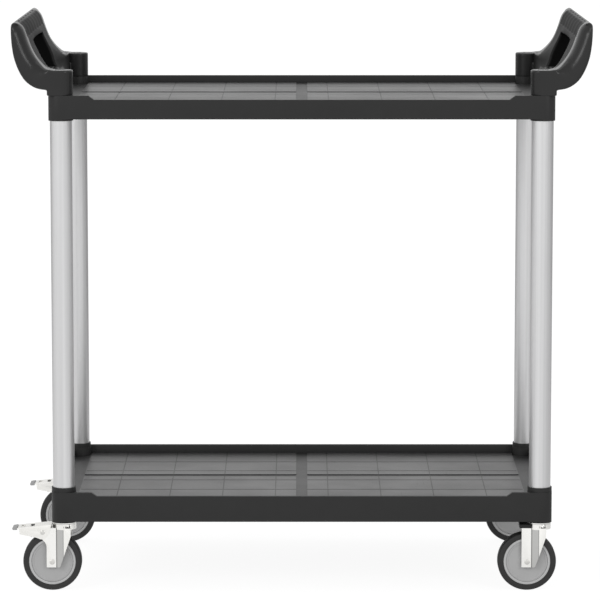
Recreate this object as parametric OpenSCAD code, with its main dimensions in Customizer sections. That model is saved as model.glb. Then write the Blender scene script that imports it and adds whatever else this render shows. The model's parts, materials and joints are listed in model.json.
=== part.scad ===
// Two-shelf food service trolley: two moulded trays on four round tubes,
// a push handle at each end and four swivel casters, the left pair with brakes.
// Millimetres. +X right along the trolley, +Y to the back, +Z up.
// Origin: floor level, under the middle of the trolley.

/* [Trays] */
// Length of both trays over their corner blocks
tray_len = 809; // [780:1:840]
// Depth of both trays, front to back
tray_dep = 460; // [440:1:480]
// Height of the lower tray's carrying surface above the floor
lower_floor = 151.5; // [149:0.5:154]
// Height of the upper tray's carrying surface above the floor
upper_floor = 794.5; // [780:0.5:797]
// Width of the solid bead round each tray
rim_w = 9; // [7:0.5:11]
// Thickness of the downturned skirt
skirt_t = 3.2; // [2.5:0.1:4]
// Thickness of a tray's floor plate
floor_t = 3.5; // [3:0.1:4.5]
// How far the four textured pads stand above the floor plate
pad_h = 1.2; // [0.8:0.1:2]
// Width of the plain cross between the four pads
cross_w = 18.5; // [14:0.5:24]
// Spacing of the fine lines on the pads along X
line_px = 85.9; // [80:0.1:90]
// Spacing of the fine lines on the pads along Y
line_py = 85; // [80:0.5:90]

/* [Corner blocks and tubes] */
// Width of a corner block along X
block_w = 39.5; // [39.5:0.5:42]
// Width of a corner block along Y
block_d = 40; // [40:0.5:42]
// Radius of the upright tubes
tube_r = 17.5; // [16.5:0.1:17.6]
// Wall thickness of the upright tubes
tube_wall = 1.5; // [1.2:0.1:2.5]
// Play between tube and socket, on the radius
socket_play = 0.05; // [0.02:0.01:0.1]

/* [Handles] */
// Height of the top of the handle posts above the floor
post_top = 846; // [840:1:850]
// Half of the length of the hand hole along Y
hole_half = 108; // [80:1:112]
// Upper edge of the hand hole above the floor
hole_high = 886; // [878:1:888]

/* [Casters] */
// Wheel radius over the tread
wheel_r = 47.5; // [46:0.5:47.5]
// Half width of the tyre
tyre_half = 11.3; // [10:0.1:11.6]
// Radius of the wheel hub, where the tyre sits
hub_r = 37.9; // [35:0.1:39]
// Distance from the swivel axis back to the wheel axle
trail = 19.7; // [17:0.1:21]
// Distance from the trolley's middle to a swivel axis along X
caster_x = 385; // [380:1:390]
// Distance from the trolley's middle to a swivel axis along Y
caster_y = 198; // [196:1:204]
// Radius of the threaded stem
stem_r = 4; // [3.5:0.5:4.5]
// Radius of the axle bolt
axle_r = 3; // [2.5:0.5:3.5]
// Radius of the brake pedal's pivot pin
pin_r = 2.5; // [2:0.1:2.8]

/* [Hidden] */
$fn = 64;

black = [0.16, 0.16, 0.17];
pad_grey = [0.27, 0.27, 0.28];
alu = [0.83, 0.83, 0.84];
zinc = [0.9, 0.9, 0.88];
steel = [0.72, 0.72, 0.73];
hub_grey = [0.66, 0.66, 0.67];
rubber = [0.13, 0.13, 0.13];
nylon = [0.85, 0.84, 0.8];

post_x = tray_len / 2 - block_w / 2;          // tube axes
post_y = tray_dep / 2 - block_d / 2;
corner_r = 18;                                // plan radius of blocks and tray corners
bore_r = tube_r + socket_play;

// lower tray levels
low_block_z0 = 114.4;
low_rim_z0 = 117.1;
low_rim_z1 = 164.6;
low_front_z = 158.5;
low_collar_z1 = 171.8;
low_socket_z = 141;
// upper tray levels
up_block_z0 = 765.4;
up_rim_z0 = 768.3;
up_rim_z1 = 806;
up_front_z = 799.4;
up_socket_z = 798;
// where the front rim steps down
dip_x0 = 330.7;
dip_x1 = 339.5;

axle_z = 47.5;
plate_z0 = 101;                               // fork's top plate
plate_z1 = 103.5;
race_z = 110.2;                               // underside of the fixed race
leg_in = 12.2;                                // fork leg, inner and outer faces at the axle
leg_out = 14.4;
neck_r = 19;                                  // fork neck round the ball race
insert_r = 6.2;                               // threaded bush for a caster's stem
insert_h = 24;
pivot_x = -34.9;                              // brake pivot, from the swivel axis
pivot_z = 96.4;
pedal_slope = 0.11;
shoe_r = 52.5;                                // brake shoe's face, from the axle

function pedal_under(x) = 102 + (x + 74) * pedal_slope;
function cr(a, b, c, d, t) = 0.5 * (2 * b + (c - a) * t + (2 * a - 5 * b + 4 * c - d) * t * t
    + (3 * b - a - 3 * c + d) * t * t * t);
function smooth(p, n) = concat(
    [for (i = [0:len(p) - 2]) for (k = [0:n - 1])
        cr(p[max(i - 1, 0)], p[i], p[i + 1], p[min(i + 2, len(p) - 1)], k / n)],
    [p[len(p) - 1]]);

// Outline of a handle seen along Y, for the right-hand end
handle_back = [[404.5, 814.5], [414, 815.4], [424, 818], [434, 823.8], [442.4, 832],
    [449.6, 844], [454.8, 856.5], [458.6, 870], [461, 886], [462, 900], [462.2, 912],
    [461.3, 918.4], [458, 921.4], [452.6, 920.6], [447.4, 917], [443.3, 911.8],
    [440.2, 904.5], [436.7, 893.5], [431.2, 879], [424.6, 866.8], [417, 857],
    [410.5, 850.4]];
handle_outline = concat([[395.5, up_rim_z1], [404.5, up_rim_z1]], smooth(handle_back, 4),
    [[405.5, 847], [402, post_top], [395.5, post_top]]);
// What is cut away between the two end blocks, so that the panel there is thin
handle_recess = [[385, 824.4], [405, 824.4], [411.2, 827.2], [416.4, 833.2], [421.4, 842.5],
    [426.8, 857.5], [430.4, 870.5], [432.6, 880], [434.2, 888], [430, 900], [385, 900]];

module rrect(x, y, r) {
    square([x - 2 * r, y], center = true);
    square([x, y - 2 * r], center = true);
    for (sx = [-1, 1], sy = [-1, 1])
        translate([sx * (x / 2 - r), sy * (y / 2 - r)]) circle(r);
}
// Extrudes an X-Z outline along Y from y0 to y1
module along_y(y0, y1) translate([0, y1, 0]) rotate([90, 0, 0]) linear_extrude(y1 - y0) children();
// A straight cylinder along Y
module rod_y(r, y0, y1) translate([0, y1, 0]) rotate([90, 0, 0]) cylinder(r = r, h = y1 - y0);
module corners() for (sx = [-1, 1], sy = [-1, 1]) translate([sx * post_x, sy * post_y, 0]) children();
module casters() for (sx = [-1, 1], sy = [-1, 1]) translate([sx * caster_x, sy * caster_y, 0]) children();
module caster(sx, sy) translate([sx * caster_x, sy * caster_y, 0]) children();
module axle(sx, sy) translate([sx * caster_x - trail, sy * caster_y, axle_z]) children();

// One tray: bead, skirt, floor plate, ribs, pads and corner blocks
module tray(block_z0, rim_z0, rim_z1, front_z, pad_z, rib_h) {
    base_z = pad_z - pad_h;
    under_z = base_z - floor_t;
    pad_x1 = post_x - block_w / 2 - 1.1;
    pad_y1 = tray_dep / 2 - rim_w - 3.5;
    difference() {
        union() {
            difference() {
                translate([0, 0, rim_z0]) linear_extrude(rim_z1 - rim_z0) rrect(tray_len, tray_dep, corner_r);
                translate([0, 0, base_z]) linear_extrude(60) rrect(tray_len - 2 * rim_w, tray_dep - 2 * rim_w, 6);
                translate([0, 0, rim_z0 - 1]) linear_extrude(under_z - rim_z0 + 1)
                    rrect(tray_len - 2 * skirt_t, tray_dep - 2 * skirt_t, 7);
                along_y(-tray_dep / 2 - 1, -tray_dep / 2 + rim_w + 1) polygon([[-dip_x0, front_z],
                    [dip_x0, front_z], [dip_x1 + 8.8, rim_z1 + 6.1], [-dip_x1 - 8.8, rim_z1 + 6.1]]);
            }
            // ribs under the floor plate, on the lines of the pads
            for (i = [-3.5:1:3.5]) translate([i * line_px - 1.25, -tray_dep / 2 + 2, under_z - rib_h])
                cube([2.5, tray_dep - 4, rib_h + 1]);
            for (i = [-1.5:1:1.5]) translate([-tray_len / 2 + 2, i * line_py - 1.25, under_z - rib_h])
                cube([tray_len - 4, 2.5, rib_h + 1]);
            // four pads
            for (sx = [-1, 1], sy = [-1, 1])
                translate([sx * (cross_w / 2 + pad_x1) / 2, sy * (cross_w / 2 + pad_y1) / 2, base_z - 1])
                    linear_extrude(pad_h + 1) rrect(pad_x1 - cross_w / 2, pad_y1 - cross_w / 2, 3);
            corners() translate([0, 0, block_z0]) linear_extrude(rim_z1 - block_z0) rrect(block_w, block_d, corner_r);
        }
        // fine lines across the pads
        for (i = [-3.5:1:3.5]) translate([i * line_px - 0.8, -pad_y1 + 1.5, pad_z - 0.35])
            cube([1.6, 2 * pad_y1 - 3, 2]);
        for (i = [-1.5:1:1.5]) translate([-pad_x1 + 1.5, i * line_py - 1.5, pad_z - 0.35])
            cube([2 * pad_x1 - 3, 3, 2]);
    }
}

module upper_tray() color(black) difference() {
    tray(up_block_z0, up_rim_z0, up_rim_z1, up_front_z, upper_floor, 8);
    corners() translate([0, 0, up_block_z0 - 1]) cylinder(r = bore_r, h = up_socket_z - up_block_z0 + 1);
    corners() translate([0, 0, up_socket_z - 1]) cylinder(r = 3.3, h = 20);
}

module lower_tray() color(black) difference() {
    union() {
        tray(low_block_z0, low_rim_z0, low_rim_z1, low_front_z, lower_floor, 8);
        corners() translate([0, 0, low_rim_z1 - 1]) cylinder(r = block_w / 2 - 0.1, h = low_collar_z1 - low_rim_z1 + 1);
        // boss round each caster's threaded insert, set in from the tube's axis
        casters() translate([0, 0, low_block_z0]) cylinder(r = 10.5, h = low_socket_z - low_block_z0);
    }
    corners() translate([0, 0, low_socket_z]) cylinder(r = bore_r, h = 60);
    corners() translate([0, 0, low_block_z0 - 1]) cylinder(r = 4.5, h = 5);
    corners() translate([0, 0, low_block_z0]) cylinder(r = 2.6, h = 60);
    casters() translate([0, 0, low_block_z0 - 1]) cylinder(r = insert_r, h = insert_h + 1);
}

module tube(sx, sy) color(alu) translate([sx * post_x, sy * post_y, low_socket_z]) difference() {
    cylinder(r = tube_r, h = up_socket_z - low_socket_z);
    translate([0, 0, -1]) cylinder(r = tube_r - tube_wall, h = up_socket_z - low_socket_z + 2);
}

// Right-hand handle: a curved panel between two end blocks, a hand hole and two posts
module handle() color(black) difference() {
    union() {
        difference() {
            along_y(-tray_dep / 2, tray_dep / 2) polygon(handle_outline);
            intersection() {
                along_y(-tray_dep / 2 - 1, tray_dep / 2 + 1) polygon(handle_recess);
                translate([0, 0, up_rim_z1]) linear_extrude(100)
                    polygon([[390, -186], [436, -88], [436, 88], [390, 186]]);
            }
        }
        // posts, square only at the corner that the panel runs into
        for (sy = [-1, 1]) translate([post_x, sy * post_y, up_rim_z1]) linear_extrude(post_top - up_rim_z1) {
            rrect(block_w, block_d, corner_r);
            translate([0, sy > 0 ? 0 : -block_d / 2]) square([block_w / 2, block_d / 2]);
        }
    }
    // hand hole
    along_y(-hole_half, hole_half) polygon([[406, 833.4], [430, 813.8], [480, 813.8],
        [480, hole_high], [406, hole_high]]);
    // screw wells in the posts
    for (sy = [-1, 1]) translate([post_x, sy * post_y, up_rim_z1 + 16]) cylinder(r = 8.5, h = 60);
    for (sy = [-1, 1]) translate([post_x, sy * post_y, up_rim_z1 - 1]) cylinder(r = 3.3, h = 40);
}

module handle_screws() color(steel) corners() {
    translate([0, 0, 770]) cylinder(r = 3, h = up_rim_z1 + 16 - 770 + 1);
    difference() {
        translate([0, 0, up_rim_z1 + 16]) cylinder(r = 5.5, h = 5);
        translate([0, 0, up_rim_z1 + 18]) cylinder(r = 2.9, h = 10, $fn = 6);
    }
}
module screw_caps() color(black) corners() {
    translate([0, 0, post_top - 2.5]) cylinder(r = 8.4, h = 2.5);
    translate([0, 0, post_top - 8]) difference() {
        cylinder(r = 8.4, h = 7);
        translate([0, 0, -1]) cylinder(r = 7, h = 9);
    }
}
module tube_top_plugs() color(nylon) corners() translate([0, 0, up_socket_z - 38]) difference() {
    cylinder(r = tube_r - tube_wall - 0.03, h = 38);
    translate([0, 0, 4]) cylinder(r = 3.03, h = 40);
}
module tube_bottom_plugs() color(nylon) corners() translate([0, 0, low_socket_z]) difference() {
    cylinder(r = tube_r - tube_wall - 0.03, h = 36);
    translate([0, 0, -1]) cylinder(r = 2.53, h = 30);
}
module tube_foot_screws() color(steel) corners() {
    translate([0, 0, low_block_z0 + 0.8]) cylinder(r = 4.2, h = 3.2);
    translate([0, 0, low_block_z0 + 3]) cylinder(r = 2.5, h = low_socket_z - low_block_z0 + 18);
}
// Threaded metal bushes moulded into the corner blocks
module caster_inserts() color(steel) casters() translate([0, 0, low_block_z0]) difference() {
    cylinder(r = insert_r, h = insert_h);
    translate([0, 0, -1]) cylinder(r = stem_r + 0.03, h = insert_h - 1);
}

module caster_stems() color(steel) casters() {
    translate([0, 0, 97.6]) cylinder(r = 8, h = 3.2);
    translate([0, 0, 97.6]) cylinder(r = stem_r, h = low_block_z0 + insert_h - 3 - 97.6);
    translate([0, 0, race_z + 2.2]) cylinder(r = 10, h = low_block_z0 - race_z - 2.2, $fn = 6);
}
module caster_top_races() color(zinc) casters() translate([0, 0, race_z]) difference() {
    cylinder(r = neck_r, h = 2.2);
    translate([0, 0, -1]) cylinder(r = stem_r + 0.03, h = 5);
}
module balls() color(steel) for (i = [0:9]) rotate(i * 36) translate([12, 0, (plate_z1 + race_z) / 2])
    sphere(r = 3.3);

// Stamped fork: top plate, race wall and two stepped legs; the braked one has ears for the pedal's pin
module fork(brake) color(zinc) difference() {
    union() {
        translate([0, 0, plate_z0]) linear_extrude(plate_z1 - plate_z0) {
            circle(neck_r);
            polygon([[-28.7, -leg_out], [-13.2, -leg_out], [-0.7, -neck_r], [10.8, -neck_r],
                [10.8, neck_r], [-0.7, neck_r], [-13.2, leg_out], [-28.7, leg_out]]);
        }
        translate([0, 0, plate_z1]) linear_extrude(race_z - 0.4 - plate_z1) difference() {
            circle(neck_r);
            circle(neck_r - 1.8);
        }
        for (s = [-1, 1]) intersection() {
            translate([0, 0, 30]) linear_extrude(plate_z1 - 30) polygon([
                [-41.5, s * leg_in], [-13.2, s * leg_in], [-0.7, s * (neck_r - 2.2)], [12, s * (neck_r - 2.2)],
                [12, s * neck_r], [-0.7, s * neck_r], [-13.2, s * leg_out], [-41.5, s * leg_out]]);
            along_y(-25, 25) polygon(concat(
                [[-28.7, 39.2], [-28.1, 38.6], [-8.4, 38.6], [-6.4, 40.2], [10.8, 90], [10.8, plate_z1]],
                brake ? [[-31, plate_z1], [-41, 100.5], [-41, 89], [-36.5, 85.4], [-32.2, 81], [-29.6, 77], [-28.7, 73]]
                      : [[-28.7, plate_z1]]));
        }
    }
    translate([0, 0, 90]) cylinder(r = stem_r + 0.06, h = 30);
    translate([-trail, 0, axle_z]) rod_y(axle_r + 0.1, -30, 30);
    if (brake) translate([pivot_x, 0, pivot_z]) rod_y(pin_r + 0.02, -30, 30);
}

// Dust cover on the back of the unbraked fork's top plate
module fork_cover() color(black) translate([0, 0, plate_z1]) linear_extrude(6.2) difference() {
    translate([-22.4, 0]) rrect(20, 33, 2.5);
    circle(neck_r + 0.1);
}

module axle_sleeve() color(steel) difference() {
    rod_y(5, -leg_in, leg_in);
    rod_y(axle_r + 0.05, -20, 20);
}
module axle_bolt() color(steel) {
    rod_y(axle_r, -leg_out - 0.5, leg_out + 6.2);
    rod_y(4.2, -leg_out - 1.9, -leg_out);
}
module axle_nut() color(steel) difference() {
    translate([0, leg_out + 5.2, 0]) rotate([90, 0, 0]) cylinder(r = 5.77, h = 5.2, $fn = 6);
    rod_y(axle_r + 0.03, 0, 30);
}

module hub() color(hub_grey) rotate([90, 0, 0]) rotate_extrude() polygon([
    [5.06, -11.9], [9, -11.9], [9, -2.5], [33.9, -2.5], [33.9, -10.5], [hub_r, -10.5],
    [hub_r, 10.5], [33.9, 10.5], [33.9, 2.5], [9, 2.5], [9, 11.9], [5.06, 11.9]]);
module hub_covers() color(hub_grey) rotate([90, 0, 0]) rotate_extrude() for (s = [-1, 1])
    translate([9.04, s > 0 ? 7 : -8.8]) square([24.82, 1.8]);
module tyre() color(rubber) rotate([90, 0, 0]) rotate_extrude() {
    translate([hub_r, -tyre_half]) square([wheel_r - 4.5 - hub_r, 2 * tyre_half]);
    translate([wheel_r - 4.5, 4.5 - tyre_half]) square([4.5, 2 * tyre_half - 9]);
    for (s = [-1, 1]) translate([wheel_r - 4.5, s * (tyre_half - 4.5)]) circle(4.5);
}

module brake_pin() color(steel) translate([pivot_x, 0, pivot_z]) {
    rod_y(pin_r, -16.6, 16.6);
    for (s = [-1, 1]) rod_y(3.8, s > 0 ? 16.3 : -17.5, s > 0 ? 17.5 : -16.3);
}
module brake_spring() color(steel) translate([-38, -5, plate_z1]) cube([16.5, 10, 0.5]);
// Stamped pedal: sloping tread plate and two side flanges outside the fork's ears
module brake_pedal() color(zinc) difference() {
    union() {
        along_y(-16.2, 16.2) polygon([[-76, pedal_under(-76)], [-20.5, pedal_under(-20.5)],
            [-20.5, pedal_under(-20.5) + 1.6], [-76, pedal_under(-76) + 1.6]]);
        for (s = [-1, 1]) along_y(s > 0 ? 14.6 : -16.2, s > 0 ? 16.2 : -14.6) polygon([
            [-73, pedal_under(-73) + 0.8], [-72.2, 93.4], [-45.5, 88], [-37.5, 85], [-31, 86.6],
            [-26.5, 91], [-23.6, 97.5], [-20.5, pedal_under(-20.5) + 0.8]]);
    }
    translate([pivot_x, 0, pivot_z]) rod_y(pin_r + 0.06, -30, 30);
    // slots in the tread plate
    for (x = [-66.5, -51.5]) {
        for (s = [-1, 1]) translate([x, s * 7, 90]) cylinder(r = 3.2, h = 30);
        translate([x - 3.2, -7, 90]) cube([6.4, 14, 30]);
    }
}
module brake_tip() color(hub_grey) translate([0, 0, pedal_under(-76) + 0.8]) difference() {
    hull() {
        translate([-82, 0, -0.9]) rod_y(2.3, -11, 11);
        translate([-75, 0, 0]) rod_y(2, -14.5, 14.5);
    }
    translate([-76.05, -20, -5]) cube([20, 40, 10]);
}
module brake_shoe() color(rubber) difference() {
    along_y(-10, 10) polygon([[-54, 84], [-54, pedal_under(-54)], [-40, pedal_under(-40)], [-40, 88]]);
    translate([-trail, 0, axle_z]) rod_y(shoe_r, -20, 20);
}

upper_tray();
lower_tray();
tube(-1, -1);  // tube_front_left
tube(1, -1);  // tube_front_right
tube(-1, 1);  // tube_rear_left
tube(1, 1);  // tube_rear_right
mirror([1, 0, 0]) handle();  // handle_left
handle();  // handle_right
handle_screws();
screw_caps();
tube_top_plugs();
tube_bottom_plugs();
tube_foot_screws();
caster_inserts();
caster_stems();
caster_top_races();
caster(-1, -1) fork(true);  // fork_fl
caster(1, -1) fork(false);  // fork_fr
caster(-1, 1) fork(true);  // fork_rl
caster(1, 1) fork(false);  // fork_rr
caster(1, -1) fork_cover();  // fork_cover_fr
caster(1, 1) fork_cover();  // fork_cover_rr
caster(-1, -1) balls();  // bearing_balls_fl
caster(1, -1) balls();  // bearing_balls_fr
caster(-1, 1) balls();  // bearing_balls_rl
caster(1, 1) balls();  // bearing_balls_rr
axle(-1, -1) axle_sleeve();  // axle_sleeve_fl
axle(1, -1) axle_sleeve();  // axle_sleeve_fr
axle(-1, 1) axle_sleeve();  // axle_sleeve_rl
axle(1, 1) axle_sleeve();  // axle_sleeve_rr
axle(-1, -1) axle_bolt();  // axle_bolt_fl
axle(1, -1) axle_bolt();  // axle_bolt_fr
axle(-1, 1) axle_bolt();  // axle_bolt_rl
axle(1, 1) axle_bolt();  // axle_bolt_rr
axle(-1, -1) axle_nut();  // axle_nut_fl
axle(1, -1) axle_nut();  // axle_nut_fr
axle(-1, 1) axle_nut();  // axle_nut_rl
axle(1, 1) axle_nut();  // axle_nut_rr
axle(-1, -1) hub();  // hub_fl
axle(1, -1) hub();  // hub_fr
axle(-1, 1) hub();  // hub_rl
axle(1, 1) hub();  // hub_rr
axle(-1, -1) hub_covers();  // hub_covers_fl
axle(1, -1) hub_covers();  // hub_covers_fr
axle(-1, 1) hub_covers();  // hub_covers_rl
axle(1, 1) hub_covers();  // hub_covers_rr
axle(-1, -1) tyre();  // tyre_fl
axle(1, -1) tyre();  // tyre_fr
axle(-1, 1) tyre();  // tyre_rl
axle(1, 1) tyre();  // tyre_rr
caster(-1, -1) brake_pin();  // brake_pin_fl
caster(-1, 1) brake_pin();  // brake_pin_rl
caster(-1, -1) brake_spring();  // brake_spring_fl
caster(-1, 1) brake_spring();  // brake_spring_rl
caster(-1, -1) brake_pedal();  // brake_pedal_fl
caster(-1, 1) brake_pedal();  // brake_pedal_rl
caster(-1, -1) brake_tip();  // brake_tip_fl
caster(-1, 1) brake_tip();  // brake_tip_rl
caster(-1, -1) brake_shoe();  // brake_shoe_fl
caster(-1, 1) brake_shoe();  // brake_shoe_rl
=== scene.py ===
"""Looks for the two-shelf food service trolley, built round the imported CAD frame.

Metres, +X right, +Y back, +Z up. Mesh helpers below take millimetres.
"""
import json
import math
import bmesh
import bpy
import numpy as np
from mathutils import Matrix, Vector

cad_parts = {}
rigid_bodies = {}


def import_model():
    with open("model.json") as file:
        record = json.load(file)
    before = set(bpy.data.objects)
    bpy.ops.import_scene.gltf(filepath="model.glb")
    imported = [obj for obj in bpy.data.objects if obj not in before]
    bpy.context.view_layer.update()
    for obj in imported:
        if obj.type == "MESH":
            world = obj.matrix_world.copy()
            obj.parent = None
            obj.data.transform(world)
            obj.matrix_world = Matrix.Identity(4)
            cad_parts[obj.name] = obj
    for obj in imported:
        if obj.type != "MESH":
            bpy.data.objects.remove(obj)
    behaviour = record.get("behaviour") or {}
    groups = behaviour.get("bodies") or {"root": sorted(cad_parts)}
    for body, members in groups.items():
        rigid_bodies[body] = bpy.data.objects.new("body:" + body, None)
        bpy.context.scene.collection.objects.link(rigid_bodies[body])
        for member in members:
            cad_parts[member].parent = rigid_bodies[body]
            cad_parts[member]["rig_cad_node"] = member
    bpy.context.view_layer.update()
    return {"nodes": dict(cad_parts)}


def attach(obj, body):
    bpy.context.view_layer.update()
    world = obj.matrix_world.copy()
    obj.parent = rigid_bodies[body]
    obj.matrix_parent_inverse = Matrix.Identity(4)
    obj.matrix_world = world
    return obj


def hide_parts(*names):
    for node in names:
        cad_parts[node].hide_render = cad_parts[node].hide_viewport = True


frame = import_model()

MM = 0.001
NODES = frame["nodes"]
scene = bpy.context.scene

# ------------------------------------------------------------------ materials


class Nodes:
    """A short way to wire a node tree."""

    def __init__(self, tree):
        self.tree = tree
        tree.nodes.clear()

    def add(self, kind, **values):
        n = self.tree.nodes.new(kind)
        for key, v in values.items():
            if key.startswith("_"):
                setattr(n, key[1:], v)
            else:
                self.put(n, key, v)
        return n

    def put(self, n, key, v):
        socket = n.inputs[int(key[1:])] if key[0] == "i" and key[1:].isdigit() else n.inputs[key.replace("__", " ")]
        if isinstance(v, bpy.types.NodeSocket):
            self.tree.links.new(v, socket)
        elif isinstance(v, bpy.types.Node):
            self.tree.links.new(v.outputs[0], socket)
        else:
            socket.default_value = v

    def mapped(self, coords, scale):
        m = self.add("ShaderNodeMapping", Vector=coords)
        m.inputs["Scale"].default_value = scale
        return m.outputs[0]

    def noise(self, coords, scale, detail=2.0, rough=0.5):
        return self.add("ShaderNodeTexNoise", Vector=coords, Scale=scale, Detail=detail, Roughness=rough).outputs["Fac"]

    def span(self, value, a, b, lo, hi):
        return self.add("ShaderNodeMapRange", Value=value, From__Min=a, From__Max=b, To__Min=lo, To__Max=hi).outputs[0]

    def math(self, op, a, b=0.0):
        return self.add("ShaderNodeMath", _operation=op, i0=a, i1=b).outputs[0]

    def mix(self, fac, a, b):
        n = self.add("ShaderNodeMix", _data_type="RGBA")
        self.put(n, "Factor", fac)
        for name, v in (("A", a), ("B", b)):
            s = [i for i in n.inputs if i.name == name and i.type == "RGBA"][0]
            if isinstance(v, bpy.types.NodeSocket):
                self.tree.links.new(v, s)
            else:
                s.default_value = v
        return [o for o in n.outputs if o.type == "RGBA"][0]


def grey(v, warm=0.0):
    return (v * (1 + warm), v, v * (1 - warm), 1.0)


def material(name):
    m = bpy.data.materials.new(name)
    m.use_nodes = True
    return m, Nodes(m.node_tree)


def finish_material(n, **principled):
    p = n.add("ShaderNodeBsdfPrincipled")
    for key, v in principled.items():
        n.put(p, key, v)
    n.add("ShaderNodeOutputMaterial", Surface=p)


def within(n, at, lo, hi, soft=0.0008):
    """1 inside a box given in metres, on the size of the coordinates so that it holds on all four sides of the trolley."""
    parts = n.add("ShaderNodeSeparateXYZ", Vector=n.add("ShaderNodeVectorMath", _operation="ABSOLUTE", i0=at).outputs[0])
    out = None
    for axis, a, b in zip("XYZ", lo, hi):
        v = parts.outputs[axis]
        m = n.math("MULTIPLY", n.span(v, a - soft, a + soft, 0.0, 1.0), n.span(v, b - soft, b + soft, 1.0, 0.0))
        out = m if out is None else n.math("MULTIPLY", out, m)
    return out


def moulded(name, value, rough, specular, grain=900.0, depth=0.25, spread=0.15, wear=0.35, scuff=0.0, grip=False):
    """Moulded plastic: fine spark-eroded grain, faint colour variation, and edges polished a little by handling."""
    m, n = material(name)
    at = n.add("ShaderNodeTexCoord").outputs["Object"]
    fine = n.noise(at, grain, 2.0, 0.6)
    broad = n.noise(at, 7.0, 3.0, 0.55)
    mottle = n.noise(at, 45.0, 2.0, 0.5)
    edge = n.add("ShaderNodeNewGeometry").outputs["Pointiness"]
    worn = n.span(edge, 0.52, 0.62, 0.0, wear)
    shade = n.math("ADD", n.math("MULTIPLY", broad, 0.6), n.math("MULTIPLY", mottle, 0.4))
    tone = n.mix(n.span(shade, 0.35, 0.65, 0.0, 1.0), grey(value * (1 - spread)), grey(value * (1 + spread)))
    tone = n.mix(worn, tone, grey(value * 1.3 + 0.004))
    r = n.math("ADD", n.span(broad, 0.35, 0.65, rough - 0.035, rough + 0.035), n.span(fine, 0.3, 0.7, -0.03, 0.03))
    r = n.math("SUBTRACT", r, n.math("MULTIPLY", worn, 0.05))
    if scuff:
        # fine scratches left by what is slid across the shelf
        long_x = n.noise(n.mapped(at, (14.0, 900.0, 1.0)), 1.0, 2.0, 0.5)
        long_y = n.noise(n.mapped(at, (900.0, 20.0, 1.0)), 1.0, 2.0, 0.5)
        lines = n.math("MAXIMUM", n.span(long_x, 0.66, 0.72, 0.0, 1.0), n.span(long_y, 0.70, 0.76, 0.0, 1.0))
        r = n.math("ADD", r, n.math("MULTIPLY", lines, scuff))
    level = specular
    if grip:
        # the mould is left rough inside the hand hole and textured on the hollow inner face; the inside of the hand
        # hole is also painted near-black as shade, and the specular level is cut there and on the inward-facing hollow
        # face
        hole = within(n, at, (0.400, -0.01, 0.829), (0.475, 0.1087, 0.8863))
        held = within(n, at, (0.400, -0.01, 0.8972), (0.475, 0.186, 0.930))
        side = n.math("SIGN", n.add("ShaderNodeSeparateXYZ", Vector=at).outputs["X"])
        facing = n.add("ShaderNodeSeparateXYZ", Vector=n.add("ShaderNodeTexCoord").outputs["Normal"])
        inward = n.span(n.math("MULTIPLY", n.math("MULTIPLY", facing.outputs["X"], side), -1.0), 0.38, 0.62, 0.0, 1.0)
        inward = n.math("MULTIPLY", inward, within(n, at, (0.380, -0.01, 0.800), (0.475, 0.186, 0.930)))
        r = n.math("ADD", r, n.math("ADD", n.math("MULTIPLY", hole, 0.40), n.math("ADD", n.math("MULTIPLY", held, 0.06), n.math("MULTIPLY", inward, 0.26))))
        level = n.math("MULTIPLY", specular, n.math("SUBTRACT", 1.0, n.math("MAXIMUM", n.math("MULTIPLY", hole, 0.93), n.math("MULTIPLY", inward, 0.72))))
        # painted shade: the inside of the hand hole goes near-black
        tone = n.mix(hole, tone, grey(0.0012))
    bump = n.add("ShaderNodeBump", Strength=depth, Distance=0.00012, Height=fine)
    finish_material(n, Base__Color=tone, Roughness=r, Specular__IOR__Level=level, Normal=bump)
    return m


def brushed_tube(name):
    """Satin anodised extrusion: fine streaks along the tube and faint draw lines."""
    m, n = material(name)
    at = n.add("ShaderNodeTexCoord").outputs["Object"]
    streak = n.noise(n.mapped(at, (1400.0, 1400.0, 6.0)), 1.0, 3.0, 0.6)
    lines = n.noise(n.mapped(at, (260.0, 260.0, 0.8)), 1.0, 2.0, 0.5)
    cloud = n.noise(at, 9.0, 2.0, 0.5)
    tone = n.mix(n.span(lines, 0.3, 0.7, 0.0, 1.0), (0.60, 0.60, 0.605, 1), (0.67, 0.67, 0.675, 1))
    r = n.math("ADD", n.span(streak, 0.3, 0.7, 0.34, 0.44), n.span(cloud, 0.3, 0.7, -0.03, 0.03))
    bump = n.add("ShaderNodeBump", Strength=0.12, Distance=0.00006, Height=streak)
    finish_material(n, Base__Color=tone, Metallic=1.0, Roughness=r, Normal=bump, Anisotropic=0.35)
    return m


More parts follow.
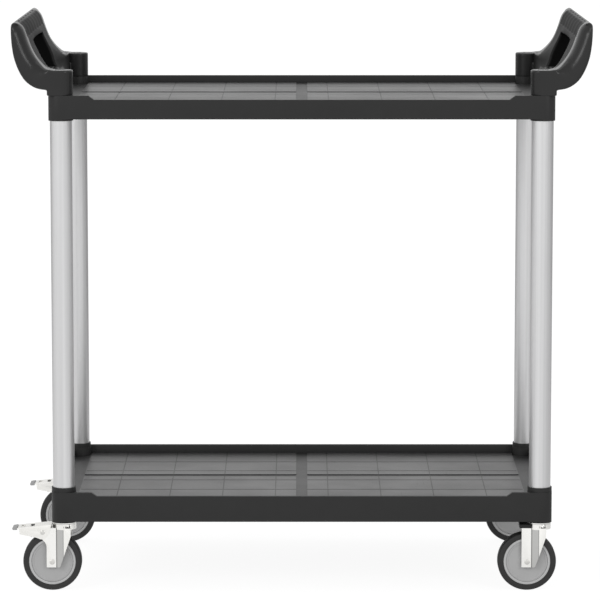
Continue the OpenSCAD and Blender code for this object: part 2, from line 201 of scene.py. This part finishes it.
def zinc(name, value=0.86, rough=0.26, dull=0.10, bend=False):
    """Bright zinc plate: faint crystalline mottling and slightly duller patches. With the fold option, painted shade
    replaces the colour of a fork leg's slanted strip: a dark line along the concave fold, mid grey across the strip,
    and darker grey towards the other fold.
    """
    m, n = material(name)
    at = n.add("ShaderNodeTexCoord").outputs["Object"]
    cells = n.add("ShaderNodeTexVoronoi", Vector=at, Scale=420.0).outputs["Distance"]
    cloud = n.noise(at, 60.0, 3.0, 0.6)
    fine = n.noise(at, 1800.0, 2.0, 0.6)
    edge = n.add("ShaderNodeNewGeometry").outputs["Pointiness"]
    rub = n.span(edge, 0.52, 0.62, 0.0, 0.5)
    tone = n.mix(n.span(cloud, 0.3, 0.7, 0.0, 1.0), (value * 0.96, value * 0.95, value * 0.915, 1), (value * 1.01, value, value * 0.965, 1))
    tone = n.mix(rub, tone, (0.93, 0.93, 0.92, 1))
    if bend:
        # painted shade on the slanted strip of a fork leg: dark line at the concave fold, mid grey across, darker
        # towards the other fold
        x = n.add("ShaderNodeSeparateXYZ", Vector=at).outputs["X"]
        across = n.math("SUBTRACT", x, n.math("MULTIPLY", n.math("SIGN", x), 0.385))
        painted_fold_tone = n.mix(n.span(across, -0.0130, -0.0110, 0.0, 1.0), (0.12, 0.12, 0.115, 1), (0.50, 0.50, 0.49, 1))
        tone = n.mix(n.span(across, -0.0024, -0.0010, 0.0, 1.0), painted_fold_tone, (0.30, 0.30, 0.295, 1))
    r = n.math("ADD", n.span(cells, 0.0, 0.9, rough - 0.04, rough + 0.04), n.span(cloud, 0.3, 0.7, 0.0, dull))
    bump = n.add("ShaderNodeBump", Strength=0.10, Distance=0.00005, Height=fine)
    finish_material(n, Base__Color=tone, Metallic=1.0, Roughness=r, Normal=bump)
    return m


def tyre_rubber(name):
    """Thermoplastic rubber: matt, a little dusty on the tread, with a fine skin."""
    m, n = material(name)
    at = n.add("ShaderNodeTexCoord").outputs["Object"]
    fine = n.noise(at, 1300.0, 3.0, 0.6)
    cloud = n.noise(at, 40.0, 3.0, 0.6)
    tone = n.mix(n.span(cloud, 0.35, 0.7, 0.0, 1.0), grey(0.0155), grey(0.0225, 0.02))
    r = n.math("ADD", n.span(cloud, 0.3, 0.7, 0.52, 0.64), n.span(fine, 0.3, 0.7, -0.04, 0.04))
    bump = n.add("ShaderNodeBump", Strength=0.25, Distance=0.0001, Height=fine)
    finish_material(n, Base__Color=tone, Roughness=r, Specular__IOR__Level=0.35, Normal=bump)
    return m


MAT = {
    "tray": moulded("tray_plastic", 0.0172, 0.50, 0.22, spread=0.06, wear=0.25),
    # pad and line are copies of the tray plastic with painted light: the pad tops are painted over twice as light as
    # the rims, standing in for the sheen of the floor at a low angle; the channel floors and fine lines are painted
    # lighter than the rims but darker than the pads, as shade in the channels
    "pad": moulded("tray_pad_plastic_painted_sheen", 0.0378, 0.36, 0.54, grain=1400.0, depth=0.3, spread=0.06, wear=0.1, scuff=0.10),
    "line": moulded("tray_line_plastic_painted_sheen_and_shade", 0.0230, 0.42, 0.34, grain=1400.0, depth=0.3, spread=0.06, wear=0.1),
    "handle": moulded("handle_plastic", 0.0172, 0.27, 0.24, spread=0.06, wear=0.3, grip=True),
    "tube": brushed_tube("tube_aluminium"),
    "zinc": zinc("zinc_plate", 0.90),
    # zinc with painted fold shade, for the slanted strips of the fork legs
    "bend": zinc("zinc_plate_bend", 0.90, 0.34, bend=True),
    "steel": zinc("fastener_steel", 0.66, 0.30, 0.12),
    "hub": moulded("hub_plastic", 0.405, 0.42, 0.4, grain=1100.0, spread=0.04, wear=0.1),
    "cover": moulded("hub_cover_plastic", 0.345, 0.46, 0.4, grain=1100.0, spread=0.04, wear=0.1),
    "tip": moulded("tip_plastic", 0.30, 0.45, 0.4, spread=0.05, wear=0.1),
    "tyre": tyre_rubber("tyre_rubber"),
    "shoe": tyre_rubber("brake_rubber"),
    "nylon": moulded("plug_nylon", 0.62, 0.5, 0.4, spread=0.05, wear=0.0),
}

# ------------------------------------------------------------------ mesh helpers


def new_object(name, verts, faces, mats, smooth=30.0):
    """verts in millimetres; smooth is the angle under which neighbouring faces shade as one."""
    mesh = bpy.data.meshes.new(name)
    mesh.from_pydata([tuple(v) for v in (np.asarray(verts, float) * MM)], [], [tuple(int(i) for i in f) for f in faces])
    mesh.validate()
    o = bpy.data.objects.new(name, mesh)
    scene.collection.objects.link(o)
    for m in mats if isinstance(mats, (list, tuple)) else [mats]:
        mesh.materials.append(m)
    shade(o, smooth)
    return o


def shade(o, angle=30.0):
    o.data.shade_smooth()
    o.data.set_sharp_from_angle(angle=math.radians(angle))


def arc(cx, cy, r, a0, a1, n):
    return [(cx + r * math.cos(math.radians(a0 + (a1 - a0) * i / n)), cy + r * math.sin(math.radians(a0 + (a1 - a0) * i / n)))
            for i in range(n + 1)]


def lathe(profile, segs, centre, axis="Y"):
    """Turns a closed (radius, along) outline about an axis through centre. Points at radius 0 close the ends."""
    p = np.asarray(profile, float)
    t = np.arange(segs) * 2 * math.pi / segs
    r, a = p[:, 0][None, :], p[:, 1][None, :]
    c, s = np.cos(t)[:, None], np.sin(t)[:, None]
    along = np.broadcast_to(a, (segs, len(p)))
    if axis == "Y":
        v = np.stack([r * c, along, r * s], -1)
    else:
        v = np.stack([r * c, r * s, along], -1)
    v = v.reshape(-1, 3) + np.asarray(centre, float)
    m = len(p)
    faces = []
    for i in range(segs):
        j = (i + 1) % segs
        for k in range(m):
            l = (k + 1) % m
            faces.append((i * m + k, i * m + l, j * m + l, j * m + k))
    return v, faces


def tidy(o):
    """Welds what is on the axis, drops empty faces and points the normals out."""
    b = bmesh.new()
    b.from_mesh(o.data)
    bmesh.ops.remove_doubles(b, verts=b.verts, dist=1e-6)
    bmesh.ops.dissolve_degenerate(b, edges=b.edges, dist=1e-7)
    bmesh.ops.recalc_face_normals(b, faces=b.faces)
    b.to_mesh(o.data)
    b.free()


def turned(name, profile, segs, centre, mat, body, nodes, axis="Y", smooth=30.0):
    v, f = lathe(profile, segs, centre, axis)
    o = new_object(name, v, f, mat, smooth)
    tidy(o)
    shade(o, smooth)
    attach(o, body)
    if nodes:
        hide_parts(*nodes)
    return o


def softened(node, name, mat, body, width, segs=3, angle=28.0, keep=None, grow=None):
    """A copy of a CAD piece with its sharp outer edges rounded, which stands for the CAD node."""
    src = NODES[node]
    mesh = src.data.copy()
    mesh.name = name
    b = bmesh.new()
    b.from_mesh(mesh)
    bmesh.ops.remove_doubles(b, verts=b.verts, dist=2e-6)
    bmesh.ops.dissolve_limit(b, angle_limit=math.radians(0.6), verts=b.verts, edges=b.edges, delimit=set())
    limit = math.radians(angle)
    edges = []
    for e in b.edges:
        if len(e.link_faces) != 2:
            continue
        turn = e.calc_face_angle_signed(0.0)
        if turn > limit and (keep is None or keep(e)):
            edges.append(e)
    bmesh.ops.bevel(b, geom=edges, offset=width * MM, offset_type="OFFSET", segments=segs, profile=0.5,
                    affect="EDGES", clamp_overlap=True, miter_outer="ARC")
    bmesh.ops.remove_doubles(b, verts=b.verts, dist=2e-6)
    bmesh.ops.recalc_face_normals(b, faces=b.faces)
    b.to_mesh(mesh)
    b.free()
    mesh.materials.clear()
    for m in mat if isinstance(mat, (list, tuple)) else [mat]:
        mesh.materials.append(m)
    o = bpy.data.objects.new(name, mesh)
    scene.collection.objects.link(o)
    for p in mesh.polygons:
        p.material_index = 0
    shade(o, 24.0)
    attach(o, body)
    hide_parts(node)
    return o


# ------------------------------------------------------------------ camera

cam_data = bpy.data.cameras.new("camera")
cam = bpy.data.objects.new("camera", cam_data)
scene.collection.objects.link(cam)
cam_data.sensor_width = 36.0
cam_data.lens = 220.45
cam_data.clip_start, cam_data.clip_end = 0.1, 200.0
cam.location = (-0.00288, -6.0622, 1.2587)
cam.rotation_euler = (math.radians(90 - 7.619), 0.0, 0.0)
scene.camera = cam

# ------------------------------------------------------------------ light and floor

scene.view_settings.view_transform = "Standard"
scene.view_settings.look = "None"

def tent(n, at):
    """Brightness of the white tent in each compass direction: bright in front, a faint seam on the left, dimmer right flank and back."""
    flat = n.add("ShaderNodeVectorMath", _operation="MULTIPLY", i0=at, i1=(1.0, 1.0, 0.0)).outputs[0]
    way = n.add("ShaderNodeVectorMath", _operation="NORMALIZE", i0=flat).outputs[0]
    gap = n.add("ShaderNodeVectorMath", _operation="DOT_PRODUCT", i0=way, i1=(-0.682, -0.731, 0.0)).outputs["Value"]
    split = n.add("ShaderNodeSeparateXYZ", Vector=way)
    level = n.math("SUBTRACT", 1.10, n.span(gap, 0.88, 0.97, 0.0, 0.14))
    level = n.math("SUBTRACT", level, n.span(split.outputs["X"], 0.25, 1.0, 0.0, 0.40))
    level = n.math("SUBTRACT", level, n.span(split.outputs["X"], -1.0, -0.8, 0.12, 0.0))
    return n.math("SUBTRACT", level, n.span(split.outputs["Y"], 0.2, 0.95, 0.0, 0.22))


def seen_white(n, level, white):
    seen = n.add("ShaderNodeLightPath").outputs["Is Camera Ray"]
    return n.math("ADD", n.math("MULTIPLY", level, n.math("SUBTRACT", 1.0, seen)), n.math("MULTIPLY", seen, white))


world = bpy.data.worlds.new("studio")
scene.world = world
world.use_nodes = True
w = Nodes(world.node_tree)
look = w.add("ShaderNodeTexCoord").outputs["Generated"]
rise = w.span(w.add("ShaderNodeSeparateXYZ", Vector=look).outputs["Z"], 0.25, 0.9, 0.0, 1.0)
side_level = w.math("MULTIPLY", tent(w, look), w.math("SUBTRACT", 1.0, rise))
level = w.math("ADD", side_level, w.math("MULTIPLY", rise, 0.80))
bg = w.add("ShaderNodeBackground", Color=(1, 1, 1, 1), Strength=seen_white(w, level, 1.05))
w.add("ShaderNodeOutputWorld", Surface=bg)


def area(name, at, to, size, power):
    d = bpy.data.lights.new(name, "AREA")
    d.shape = "RECTANGLE"
    d.size, d.size_y = size
    d.energy = power
    o = bpy.data.objects.new(name, d)
    o.location = at
    o.rotation_euler = (Vector(to) - Vector(at)).to_track_quat("-Z", "Y").to_euler()
    scene.collection.objects.link(o)
    return o


area("key", (-2.4, -3.0, 2.1), (0, 0, 0.7), (0.9, 1.3), 30)
area("fill", (2.4, -3.0, 2.1), (0, 0, 0.7), (0.9, 1.3), 26)
area("top", (0, 0.6, 3.4), (0, 0, 0.5), (3.0, 1.6), 14)

floor_mesh = bpy.data.meshes.new("floor")
floor_mesh.from_pydata([(-60, -60, 0), (60, -60, 0), (60, 60, 0), (-60, 60, 0)], [], [(0, 1, 2, 3)])
floor = bpy.data.objects.new("floor", floor_mesh)
scene.collection.objects.link(floor)
fm, n = material("pale_floor")
lit = n.add("ShaderNodeBsdfDiffuse", Color=(0.14, 0.14, 0.14, 1))
at = n.add("ShaderNodeTexCoord").outputs["Object"]
# the floor glows: plain white where the camera sees it, and towards the trolley a light shaped like the tent that dims
# behind
far = n.span(n.add("ShaderNodeSeparateXYZ", Vector=at).outputs["Y"], 0.6, 2.2, 0.82, 0.30)
level = n.math("MULTIPLY", tent(n, at), far)
glow = n.add("ShaderNodeEmission", Color=(1, 1, 1, 1), Strength=seen_white(n, level, 0.92))
both = n.add("ShaderNodeAddShader", i0=lit, i1=glow)
n.add("ShaderNodeOutputMaterial", Surface=both)
floor_mesh.materials.append(fm)

# ------------------------------------------------------------------ carried-over CAD pieces


def dress(node, mat):
    o = NODES[node]
    o.data.materials.clear()
    o.data.materials.append(mat)
    return o


CASTERS = {"fl": (-385.0, -198.0), "fr": (385.0, -198.0), "rl": (-385.0, 198.0), "rr": (385.0, 198.0)}
TRAIL, AXLE_Z = 19.7, 47.5
for key in ("handle_screws", "tube_foot_screws", "caster_inserts", "caster_stems"):
    dress(key, MAT["steel"])
for key in ("tube_top_plugs", "tube_bottom_plugs"):
    dress(key, MAT["nylon"])
dress("caster_top_races", MAT["zinc"])
for c in CASTERS:
    dress(f"bearing_balls_{c}", MAT["steel"])
    dress(f"axle_sleeve_{c}", MAT["steel"])
for c in ("fl", "rl"):
    dress(f"brake_spring_{c}", MAT["steel"])
    dress(f"brake_shoe_{c}", MAT["shoe"])

# ------------------------------------------------------------------ trays

TRAYS = {  # base level of the floor plate, pad level, rim bottom, rim top
    "upper_tray": (793.3, 794.5, 768.3, 806.0),
    "lower_tray": (150.3, 151.5, 117.1, 164.6),
}


def tray_piece(node):
    base, pad, low, top = (v * MM for v in TRAYS[node])

    def keep(e):
        zs = [v.co.z for v in e.verts]
        mid = (e.verts[0].co + e.verts[1].co) / 2
        if max(zs) < low - 0.0040 or min(zs) < base - 0.0045 and abs(mid.x) < 0.4005 and abs(mid.y) < 0.2262:
            return False                     # ribs, sockets and the skirt's inside
        if max(zs) < base + 0.0016 and abs(mid.x) < 0.3955 and abs(mid.y) < 0.2215:
            return False                     # pads and their fine lines
        near_post = math.hypot(abs(mid.x) - 0.38475, abs(mid.y) - 0.21) < 0.0180
        return not near_post

    o = softened(node, node + "_moulding", [MAT["tray"], MAT["pad"], MAT["line"]], "frame", 0.9, keep=keep)
    for p in o.data.polygons:
        c = p.center
        if base - 0.0001 < c.z < pad + 0.0001 and abs(c.x) < 0.372 and abs(c.y) < 0.2215:
            p.use_smooth = False
        # pad tops get the copy painted light for sheen; channel floors and lines get the copy painted between, for
        # shade in the channels
        if c.z > pad - 0.0001 and c.z < pad + 0.0001 and 0.0090 < abs(c.x) < 0.3642 and 0.0090 < abs(c.y) < 0.2178:
            p.material_index = 1
        elif base - 0.0001 < c.z < pad - 0.0001 and abs(p.normal.z) > 0.9 and abs(c.x) < 0.3642 and abs(c.y) < 0.2178:
            p.material_index = 2
    return o


for node in TRAYS:
    tray_piece(node)

# ------------------------------------------------------------------ upright tubes

for sx, xn in ((-1, "left"), (1, "right")):
    for sy, yn in ((-1, "front"), (1, "rear")):
        z0, z1 = 141.0, 798.0
        ring = [(16.0, z0 + 0.3), (16.3, z0), (17.2, z0), (17.5, z0 + 0.3)]
        ring += [(17.5, z0 + (z1 - z0) * k / 24) for k in range(1, 24)]
        ring += [(17.5, z1 - 0.3), (17.2, z1), (16.3, z1), (16.0, z1 - 0.3)]
        ring += [(16.0, z1 - (z1 - z0) * k / 24) for k in range(1, 24)]
        o = turned(f"tube_{yn}_{xn}_extrusion", ring, 96, (sx * 384.75, sy * 210.0, 0), MAT["tube"], "frame",
                   [f"tube_{yn}_{xn}"], axis="Z")

# ------------------------------------------------------------------ handles


def smax(a, b, k):
    h = np.maximum(k - np.abs(a - b), 0.0) / k
    return np.maximum(a, b) + h * h * k * 0.25


def step_up(v, a, b):
    t = np.clip((v - a) / (b - a), 0.0, 1.0)
    return t * t * (3 - 2 * t)


def rounded_curve(pts, n):
    out = []
    for i in range(len(pts) - 1):
        a, b = pts[max(i - 1, 0)], pts[i]
        c, d = pts[i + 1], pts[min(i + 2, len(pts) - 1)]
        for k in range(n):
            t = k / n
            out.append([0.5 * (2 * b[j] + (c[j] - a[j]) * t + (2 * a[j] - 5 * b[j] + 4 * c[j] - d[j]) * t * t
                               + (3 * b[j] - a[j] - 3 * c[j] + d[j]) * t ** 3) for j in (0, 1)])
    return out + [list(pts[-1])]


def polygon_field(x, z, poly):
    """Signed distance to a closed outline, negative inside."""
    d2 = np.full(x.shape, 1e12)
    odd = np.zeros(x.shape, bool)
    for (ax, az), (bx, bz) in zip(poly, np.roll(poly, -1, 0)):
        ex, ez = bx - ax, bz - az
        t = np.clip(((x - ax) * ex + (z - az) * ez) / max(ex * ex + ez * ez, 1e-12), 0, 1)
        d2 = np.minimum(d2, (x - ax - t * ex) ** 2 + (z - az - t * ez) ** 2)
        if ez:
            odd ^= ((az <= z) != (bz <= z)) & (x < ax + (z - az) * ex / ez)
    return np.where(odd, -1.0, 1.0) * np.sqrt(d2)


def line_distance(x, z, pts):
    d2 = np.full(x.shape, 1e12)
    for (ax, az), (bx, bz) in zip(pts[:-1], pts[1:]):
        ex, ez = bx - ax, bz - az
        t = np.clip(((x - ax) * ex + (z - az) * ez) / max(ex * ex + ez * ez, 1e-12), 0, 1)
        d2 = np.minimum(d2, (x - ax - t * ex) ** 2 + (z - az - t * ez) ** 2)
    return np.sqrt(d2)


BACK = [[404.5, 814.5], [414, 815.4], [424, 818], [434, 823.8], [442.4, 832], [449.6, 844], [454.8, 856.5],
        [458.6, 870], [461, 886], [462, 900], [462.2, 912], [461.3, 918.4], [458, 921.4], [452.6, 920.6],
        [447.4, 917], [443.3, 911.8], [440.2, 904.5], [436.7, 893.5], [431.2, 879], [424.6, 866.8], [417, 857],
        [410.5, 850.4]]
CURVE = rounded_curve(BACK, 4)
OUTLINE = np.array([[395.5, 806.0], [404.5, 806.0]] + CURVE + [[405.5, 847], [402, 846], [395.5, 846]])
OUTER = np.array(rounded_curve(BACK[:12], 2))
INNER = np.array(rounded_curve(BACK[14:], 2) + [[405.5, 847], [400, 846]])
RECESS = np.array([[385, 824.4], [405, 824.4], [411.2, 827.2], [416.4, 833.2], [421.4, 842.5], [426.8, 857.5],
                   [430.4, 870.5], [432.6, 880], [434.2, 888], [430, 900], [385, 900]])
HOLE = np.array([[406, 833.4], [430, 813.8], [480, 813.8], [480, 886], [406, 886]])


class Table:
    """A fine grid of the plane outlines' distances, read back by interpolation."""

    def __init__(self, lo, hi, step=0.5):
        self.lo, self.step = np.array(lo, float), step
        xs, zs = np.arange(lo[0], hi[0], step), np.arange(lo[1], hi[1], step)
        gx, gz = np.meshgrid(xs, zs, indexing="ij")
        to_out, to_in = line_distance(gx, gz, OUTER), line_distance(gx, gz, INNER)
        whole = polygon_field(gx, gz, OUTLINE)
        self.maps = [whole, polygon_field(gx, gz, RECESS), polygon_field(gx, gz, HOLE),
                     to_out / np.maximum(to_out + to_in, 1e-6),
                     np.where((whole > 0) & (to_in < to_out), to_in, -to_in)]

    def read(self, x, z):
        m = self.maps[0].shape
        u = np.clip((x - self.lo[0]) / self.step, 0, m[0] - 1.001)
        v = np.clip((z - self.lo[1]) / self.step, 0, m[1] - 1.001)
        i, j = u.astype(int), v.astype(int)
        u, v = u - i, v - j
        return [(a[i, j] * (1 - u) + a[i + 1, j] * u) * (1 - v) + (a[i, j + 1] * (1 - u) + a[i + 1, j + 1] * u) * v
                for a in self.maps]


TABLE = Table((352, 796), (476, 934))


def handle_field(x, y, z):
    """Signed distance-like value of the right-hand handle, negative inside, in millimetres."""
    ay = np.abs(y)
    side, dip, gap, inward, face = TABLE.read(x, z)
    # finger grooves round the inside and the top of the grip, below which a plain band is left over the hand hole
    grip = step_up(z, 896.2, 898.0) * step_up(inward, 0.30, 0.52) * (1 - step_up(ay, 172, 200))
    side = side + grip * (0.45 + 1.35 * np.abs(np.cos(np.pi * y / 50.0)))
    # thin panel between the two end blocks
    width = 186 - (x - 390) * (98.0 / 46.0)
    hollow = smax(dip, (ay - width) * 0.425, 26.0)
    body = smax(side, -hollow, 9.0)
    body = smax(body, -smax(gap, ay - 108.0, 5.0), 4.5)
    body = smax(body, ay - 230.0, 6.5)
    # broad rounding where the ends meet the hollow face, dying out towards the posts
    body = np.maximum(body, smax(face, ay - 230.0, 8.0 + 22.0 * step_up(x, 402, 430)))
    # posts
    qx, qy = np.abs(x - 384.75) - 1.75, np.abs(ay - 210.0) - 2.0
    plan = np.hypot(np.maximum(qx, 0), np.maximum(qy, 0)) + np.minimum(np.maximum(qx, qy), 0) - 18.0
    plan = np.where((x > 386.5) & (ay > 212.0), smax(x - 404.5, ay - 230.0, 6.5), plan)
    post = smax(smax(plan, z - 846.0, 2.6), 806.0 - z, 0.8)
    body = np.maximum(-smax(-body, -post, 5.0), ay - 230.0)
    body = np.maximum(body, 806.0 - z)
    reach = np.hypot(x - 384.75, ay - 210.0)
    body = smax(body, -np.maximum(reach - 8.5, 822.0 - z), 0.8)
    return np.maximum(body, -(reach - 3.3))


def surface_nets(f, lo, step):
    """Quads round the zero level of a field sampled on a grid."""
    size = tuple(n - 1 for n in f.shape)
    corner = [(i, j, k) for i in (0, 1) for j in (0, 1) for k in (0, 1)]
    total = np.zeros(size + (3,), np.float32)
    count = np.zeros(size, np.int16)

    def at(o):
        return f[o[0]:o[0] + size[0], o[1]:o[1] + size[1], o[2]:o[2] + size[2]]

    for a in corner:
        for axis in range(3):
            if a[axis]:
                continue
            b = tuple(v + (1 if n == axis else 0) for n, v in enumerate(a))
            fa, fb = at(a), at(b)
            cross = (fa < 0) != (fb < 0)
            t = fa[cross] / (fa[cross] - fb[cross])
            p = np.repeat(np.array([a], np.float32), len(t), 0)
            p[:, axis] += t
            total[cross] += p
            count[cross] += 1
    live = count > 0
    index = np.full(size, -1, np.int64)
    index[live] = np.arange(live.sum())
    verts = (np.argwhere(live) + total[live] / count[live][:, None]) * step + np.asarray(lo)
    quads = []
    for axis in range(3):
        u, v = (axis + 1) % 3, (axis + 2) % 3
        sl0 = [slice(None)] * 3
        sl1 = [slice(None)] * 3
        sl0[axis], sl1[axis] = slice(0, -1), slice(1, None)
        fa, fb = f[tuple(sl0)], f[tuple(sl1)]
        cross = (fa < 0) != (fb < 0)
        ids = np.argwhere(cross)
        ids = ids[(ids[:, u] > 0) & (ids[:, v] > 0) & (ids[:, u] < size[u]) & (ids[:, v] < size[v])]
        flip = fa[tuple(ids.T)] < 0
        ring = []
        for du, dv in ((0, 0), (-1, 0), (-1, -1), (0, -1)):
            c = ids.copy()
            c[:, u] += du
            c[:, v] += dv
            ring.append(index[tuple(c.T)])
        q = np.stack(ring, 1)
        q[~flip] = q[~flip][:, ::-1]
        quads.append(q)
    return verts, np.concatenate(quads)


def slopes(field, p, h=0.25):
    g = np.empty_like(p)
    for k in range(3):
        d = np.zeros(3)
        d[k] = h
        a, b = p + d, p - d
        g[:, k] = (field(a[:, 0], a[:, 1], a[:, 2]) - field(b[:, 0], b[:, 1], b[:, 2])) / (2 * h)
    return g


def netted(name, field, lo, hi, step, mat, body, nodes, mirror=False, smooth=50.0):
    lo, hi = np.array(lo, float), np.array(hi, float)
    axes = [np.arange(lo[k], hi[k] + step, step) for k in range(3)]
    gx, gz = np.meshgrid(axes[0], axes[2], indexing="ij")
    f = np.empty([len(a) for a in axes], np.float32)
    for j, y in enumerate(axes[1]):
        f[:, j, :] = field(gx, np.full(gx.shape, y), gz)
    v, q = surface_nets(f, lo, step)
    for _ in range(3):
        g = slopes(field, v)
        d = field(v[:, 0], v[:, 1], v[:, 2])
        move = -d[:, None] * g / np.maximum((g * g).sum(1), 0.2)[:, None]
        v = v + np.clip(move, -step * 0.5, step * 0.5)
    v[:, 1] = np.clip(v[:, 1], -229.99, 229.99)
    if mirror:
        v = v * [-1, 1, 1]
        q = q[:, ::-1]
    o = new_object(name, v, q, mat, smooth)
    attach(o, body)
    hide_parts(*nodes)
    return o


STEP = 1.6
for key, flip in (("left", True), ("right", False)):
    o = netted(f"handle_{key}_moulding", handle_field, (361.1, -234.05, 802.05), (466.4, 234.4, 926), STEP,
               MAT["handle"], "frame", [f"handle_{key}"], mirror=flip)

# caps that close the screw wells: one shallow domed disc with a skirt for each post
cap_profile = [(0.0, 845.75), (5.0, 845.72), (7.4, 845.55)] + [(8.4 - 0.6 + 0.6 * math.sin(math.radians(a)), 844.9 + 0.6 * math.cos(math.radians(a))) for a in range(0, 91, 30)] \
    + [(8.4, 838.3), (8.1, 838.0), (7.0, 838.0), (7.0, 843.5), (0.0, 843.5)]
cap_v, cap_f = [], []
for sx in (-1, 1):
    for sy in (-1, 1):
        v, f = lathe(cap_profile, 40, (sx * 384.75, sy * 210.0, 0), "Z")
        cap_f += [tuple(i + sum(len(u) for u in cap_v) for i in face) for face in f]
        cap_v.append(v)
caps = new_object("screw_cap_discs", np.concatenate(cap_v), cap_f, MAT["handle"], 30.0)
tidy(caps)
shade(caps, 30.0)
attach(caps, "frame")
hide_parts("screw_caps")

# ------------------------------------------------------------------ casters


def fillet(points, radii, n=4):
    """A closed outline with its corners rounded: radii is one value per point."""
    pts = [Vector(p) for p in points]
    out = []
    for i, p in enumerate(pts):
        r = radii[i] if not isinstance(radii, (int, float)) else radii
        a, b = pts[i - 1], pts[(i + 1) % len(pts)]
        u, w = (a - p), (b - p)
        if r <= 0 or u.length < 1e-6 or w.length < 1e-6:
            out.append(tuple(p))
            continue
        lu, lw = u.length, w.length
        u, w = u.normalized(), w.normalized()
        angle = u.angle(w)
        if angle > math.radians(178):
            out.append(tuple(p))
            continue
        cut = min(r / math.tan(angle / 2), lu * 0.49, lw * 0.49)
        for k in range(n + 1):
            t = k / n
            s, e = p + u * cut, p + w * cut
            out.append(tuple(s * (1 - t) ** 2 + p * 2 * t * (1 - t) + e * t ** 2))
    return out


HUB = [(5.06, -11.9), (9.0, -11.9), (9.0, -2.5), (33.9, -2.5), (33.9, -10.5), (37.9, -10.5),
       (37.9, 10.5), (33.9, 10.5), (33.9, 2.5), (9.0, 2.5), (9.0, 11.9), (5.06, 11.9)]
HUB_R = [0.2, 0.5, 0.6, 0.6, 0.9, 0.5, 0.5, 0.9, 0.6, 0.6, 0.5, 0.2]
COVER = [(9.04, 7.0), (9.04, 8.8), (12.5, 8.8), (13.3, 8.1), (29.6, 8.1), (30.6, 8.8), (33.86, 8.8), (33.86, 7.0)]
COVER_R = [0.1, 0.3, 0.5, 0.6, 0.6, 0.5, 0.5, 0.1]
TYRE = [(37.9, -11.3), (43.0, -11.3)] + [(43.0 + 4.5 * math.sin(math.radians(a)), -6.8 - 4.5 * math.cos(math.radians(a))) for a in range(9, 90, 9)] \
    + [(47.5, -6.8), (47.5, -2.3), (47.5, 2.3), (47.5, 6.8)] \
    + [(43.0 + 4.5 * math.cos(math.radians(a)), 6.8 + 4.5 * math.sin(math.radians(a))) for a in range(9, 90, 9)] \
    + [(43.0, 11.3), (37.9, 11.3)]
TYRE_R = [0.6] + [0.0] * (len(TYRE) - 2) + [0.6]


def combined(parts):
    vs, fs, n = [], [], 0
    for v, f in parts:
        vs.append(v)
        fs += [tuple(i + n for i in face) for face in f]
        n += len(v)
    return np.concatenate(vs), fs


for c, (cx, cy) in CASTERS.items():
    at = (cx - TRAIL, cy, AXLE_Z)
    turned(f"hub_{c}_moulding", fillet(HUB, HUB_R), 96, at, MAT["hub"], f"wheel_{c}", [f"hub_{c}"])
    turned(f"tyre_{c}_tread", fillet(TYRE, TYRE_R), 128, at, MAT["tyre"], f"wheel_{c}", [f"tyre_{c}"])
    front = fillet([(r, -a) for r, a in COVER][::-1], COVER_R[::-1])
    v, f = combined([lathe(fillet(COVER, COVER_R), 96, at), lathe(front, 96, at)])
    o = new_object(f"hub_covers_{c}_discs", v, f, MAT["cover"])
    tidy(o)
    shade(o, 30)
    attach(o, f"wheel_{c}")
    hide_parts(f"hub_covers_{c}")
    # axle bolt with a low domed head, and its nut
    bolt = [(0.0, -16.3)] + [(4.2 * math.sin(math.radians(a)), -15.5 - 0.8 * math.cos(math.radians(a))) for a in range(15, 91, 15)] \
        + [(4.2, -14.5), (4.1, -14.4), (3.0, -14.4), (3.0, 20.2), (2.6, 20.6), (0.0, 20.6)]
    turned(f"axle_bolt_{c}_turned", bolt, 40, at, MAT["steel"], f"swivel_{c}", [f"axle_bolt_{c}"])
    softened(f"axle_nut_{c}", f"axle_nut_{c}_hex", MAT["steel"], f"swivel_{c}", 0.35)
    o = softened(f"fork_{c}", f"fork_{c}_pressing", [MAT["zinc"], MAT["bend"]], f"swivel_{c}", 0.45)
    # faces of each leg's slanted strip get the zinc with painted fold shade
    for p in o.data.polygons:
        if 0.15 < abs(p.normal.x) < 0.75 and abs(p.normal.y) > 0.6 and abs(p.normal.z) < 0.1 and p.area > 4e-5:
            p.material_index = 1
    shade(o, 12.0)
for c in ("fr", "rr"):
    softened(f"fork_cover_{c}", f"fork_cover_{c}_moulding", MAT["tray"], f"swivel_{c}", 0.6)
for c in ("fl", "rl"):
    cx, cy = CASTERS[c]
    at = (cx - 34.9, cy, 96.4)
    head = [(0.0, -17.5)] + [(3.8 * math.sin(math.radians(a)), -16.7 - 0.8 * math.cos(math.radians(a))) for a in range(15, 91, 15)] + [(3.8, -16.35), (3.7, -16.3)]
    pin = head + [(2.5, -16.3), (2.5, 16.3)] + [(r, -a) for r, a in head[::-1]]
    turned(f"brake_pin_{c}_rivet", pin, 32, at, MAT["steel"], f"swivel_{c}", [f"brake_pin_{c}"])
    softened(f"brake_pedal_{c}", f"brake_pedal_{c}_pressing", MAT["zinc"], f"pedal_{c}", 0.4)
    softened(f"brake_tip_{c}", f"brake_tip_{c}_moulding", MAT["tip"], f"pedal_{c}", 0.3)

for o in list(scene.objects):
    if o.get("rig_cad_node") and not o.hide_render:
        look = o.data.materials[0]
